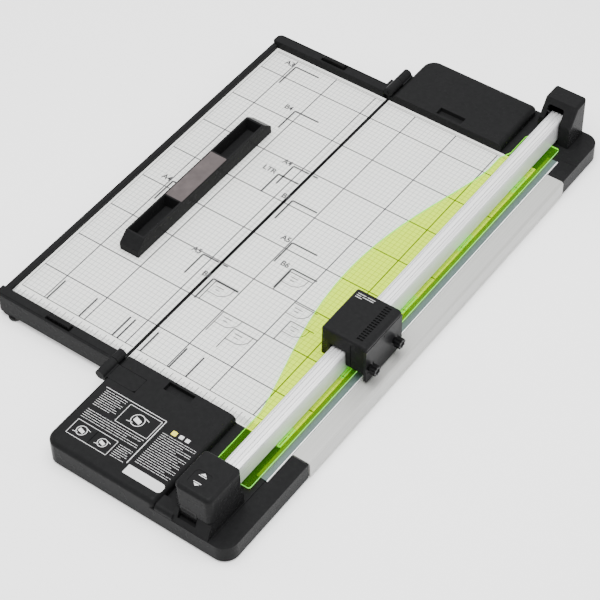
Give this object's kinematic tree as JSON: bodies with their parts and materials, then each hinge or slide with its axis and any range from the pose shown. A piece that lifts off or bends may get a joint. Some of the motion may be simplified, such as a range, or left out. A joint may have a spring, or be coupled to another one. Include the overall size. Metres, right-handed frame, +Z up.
{
  "type": "rotary paper trimmer",
  "caption": "Long rotary paper trimmer: a rolling blade head on an aluminium rail over a ruled table, with a green clamp sheet, an opened fold-out table and a paper stop.",
  "frame": {"origin": "on the floor, under the middle of the outer box with the fold-out table open and flat", "axes": "+Y along the rail towards its pivot, +X towards the cutting edge's side, +Z up"},
  "size_m": [0.362, 0.628, 0.0708],
  "materials": {
    "black_plastic": "fine matte moulding, satin edges",
    "dark_plastic": "smooth moulding",
    "table_print": "pale matt board with a printed grid",
    "satin_aluminium": "satin anodised extrusion",
    "steel": "bright steel",
    "green_acrylic": "clear green sheet with bright edges",
    "mat_grey": "matt cutting strip",
    "rubber": "matt",
    "pad_grey": "matt"
  },
  "bodies": {
    "base": {"front_block": "black_plastic", "rear_block": "black_plastic", "front_bottom_cover": "dark_plastic", "rear_bottom_cover": "dark_plastic", "hinge_cover": "black_plastic", "main_table": "table_print", "base_pan": "dark_plastic", "edge_extrusion": "satin_aluminium", "cutting_mat": "mat_grey", "mat_channel": "satin_aluminium", "front_left_foot": "rubber", "front_right_foot": "rubber", "rear_left_foot": "rubber", "rear_right_foot": "rubber", "front_left_screw": "steel", "front_right_screw": "steel", "rear_left_screw": "steel", "rear_right_screw": "steel", "front_hinge_pin": "steel", "rear_hinge_pin": "steel", "rail_pivot_pin": "steel"},
    "tray": {"tray_panel": "table_print", "tray_side_bar": "black_plastic", "tray_front_guide": "black_plastic", "tray_rear_guide": "black_plastic", "tray_front_hook": "dark_plastic", "tray_rear_hook": "dark_plastic", "tray_front_foot": "rubber", "tray_rear_foot": "rubber"},
    "stop": {"paper_stop": "black_plastic", "stop_pad": "pad_grey"},
    "rail_arm": {"rail": "satin_aluminium", "rail_pivot_block": "dark_plastic", "rail_end_plug": "dark_plastic", "rail_end_cap": "black_plastic", "latch_spring": "steel"},
    "latch": {"latch_tongue": "dark_plastic"},
    "clamp": {"clamp_sheet": "green_acrylic"},
    "carriage": {"carriage_shoe": "dark_plastic", "front_return_spring": "steel", "rear_return_spring": "steel"},
    "head": {"carriage_cover": "black_plastic", "blade_cartridge": "black_plastic", "blade_axle": "steel"},
    "blade": {"blade_disc": "steel"},
    "front_thumbscrew": {"front_knob": "dark_plastic"},
    "rear_thumbscrew": {"rear_knob": "dark_plastic"}
  },
  "joints": [
    {"name": "tray_fold", "type": "hinge", "parent": "base", "child": "tray", "pos_m": [-0.0325, 0.022, 0.0305], "axis": [0, 1, 0], "range_deg": [0, 180]},
    {"name": "stop_lift", "type": "slide", "parent": "tray", "child": "stop", "axis": [0, 0, 1], "range_m": [0, 0.05]},
    {"name": "rail_lift", "type": "hinge", "parent": "base", "child": "rail_arm", "pos_m": [0.13785, 0.302, 0.039], "axis": [-1, 0, 0], "range_deg": [0, 30]},
    {"name": "latch_slide", "type": "slide", "parent": "rail_arm", "child": "latch", "axis": [0, 1, 0], "range_m": [0, 0.003], "stiffness_N_per_m": 600, "springref_m": -0.002, "deforming": ["latch_spring"]},
    {"name": "clamp_float", "type": "slide", "parent": "rail_arm", "child": "clamp", "axis": [0, 0, -1], "range_m": [0, 0.0009], "stiffness_N_per_m": 2000, "springref_m": -0.001},
    {"name": "carriage_slide", "type": "slide", "parent": "rail_arm", "child": "carriage", "axis": [0, 1, 0], "range_m": [-0.168, 0.309]},
    {"name": "head_press", "type": "slide", "parent": "carriage", "child": "head", "axis": [0, 0, -1], "range_m": [0, 0.0018], "stiffness_N_per_m": 2000, "springref_m": -0.002, "deforming": ["front_return_spring", "rear_return_spring"]},
    {"name": "blade_spin", "type": "hinge", "parent": "head", "child": "blade", "pos_m": [0.156, -0.0625, 0.0376], "axis": [1, 0, 0], "continuous": true},
    {"name": "front_knob_turn", "type": "hinge", "parent": "head", "child": "front_thumbscrew", "pos_m": [0.1695, -0.0855, 0.0405], "axis": [1, 0, 0], "continuous": true},
    {"name": "rear_knob_turn", "type": "hinge", "parent": "head", "child": "rear_thumbscrew", "pos_m": [0.1695, -0.0455, 0.0405], "axis": [1, 0, 0], "continuous": true}
  ]
}
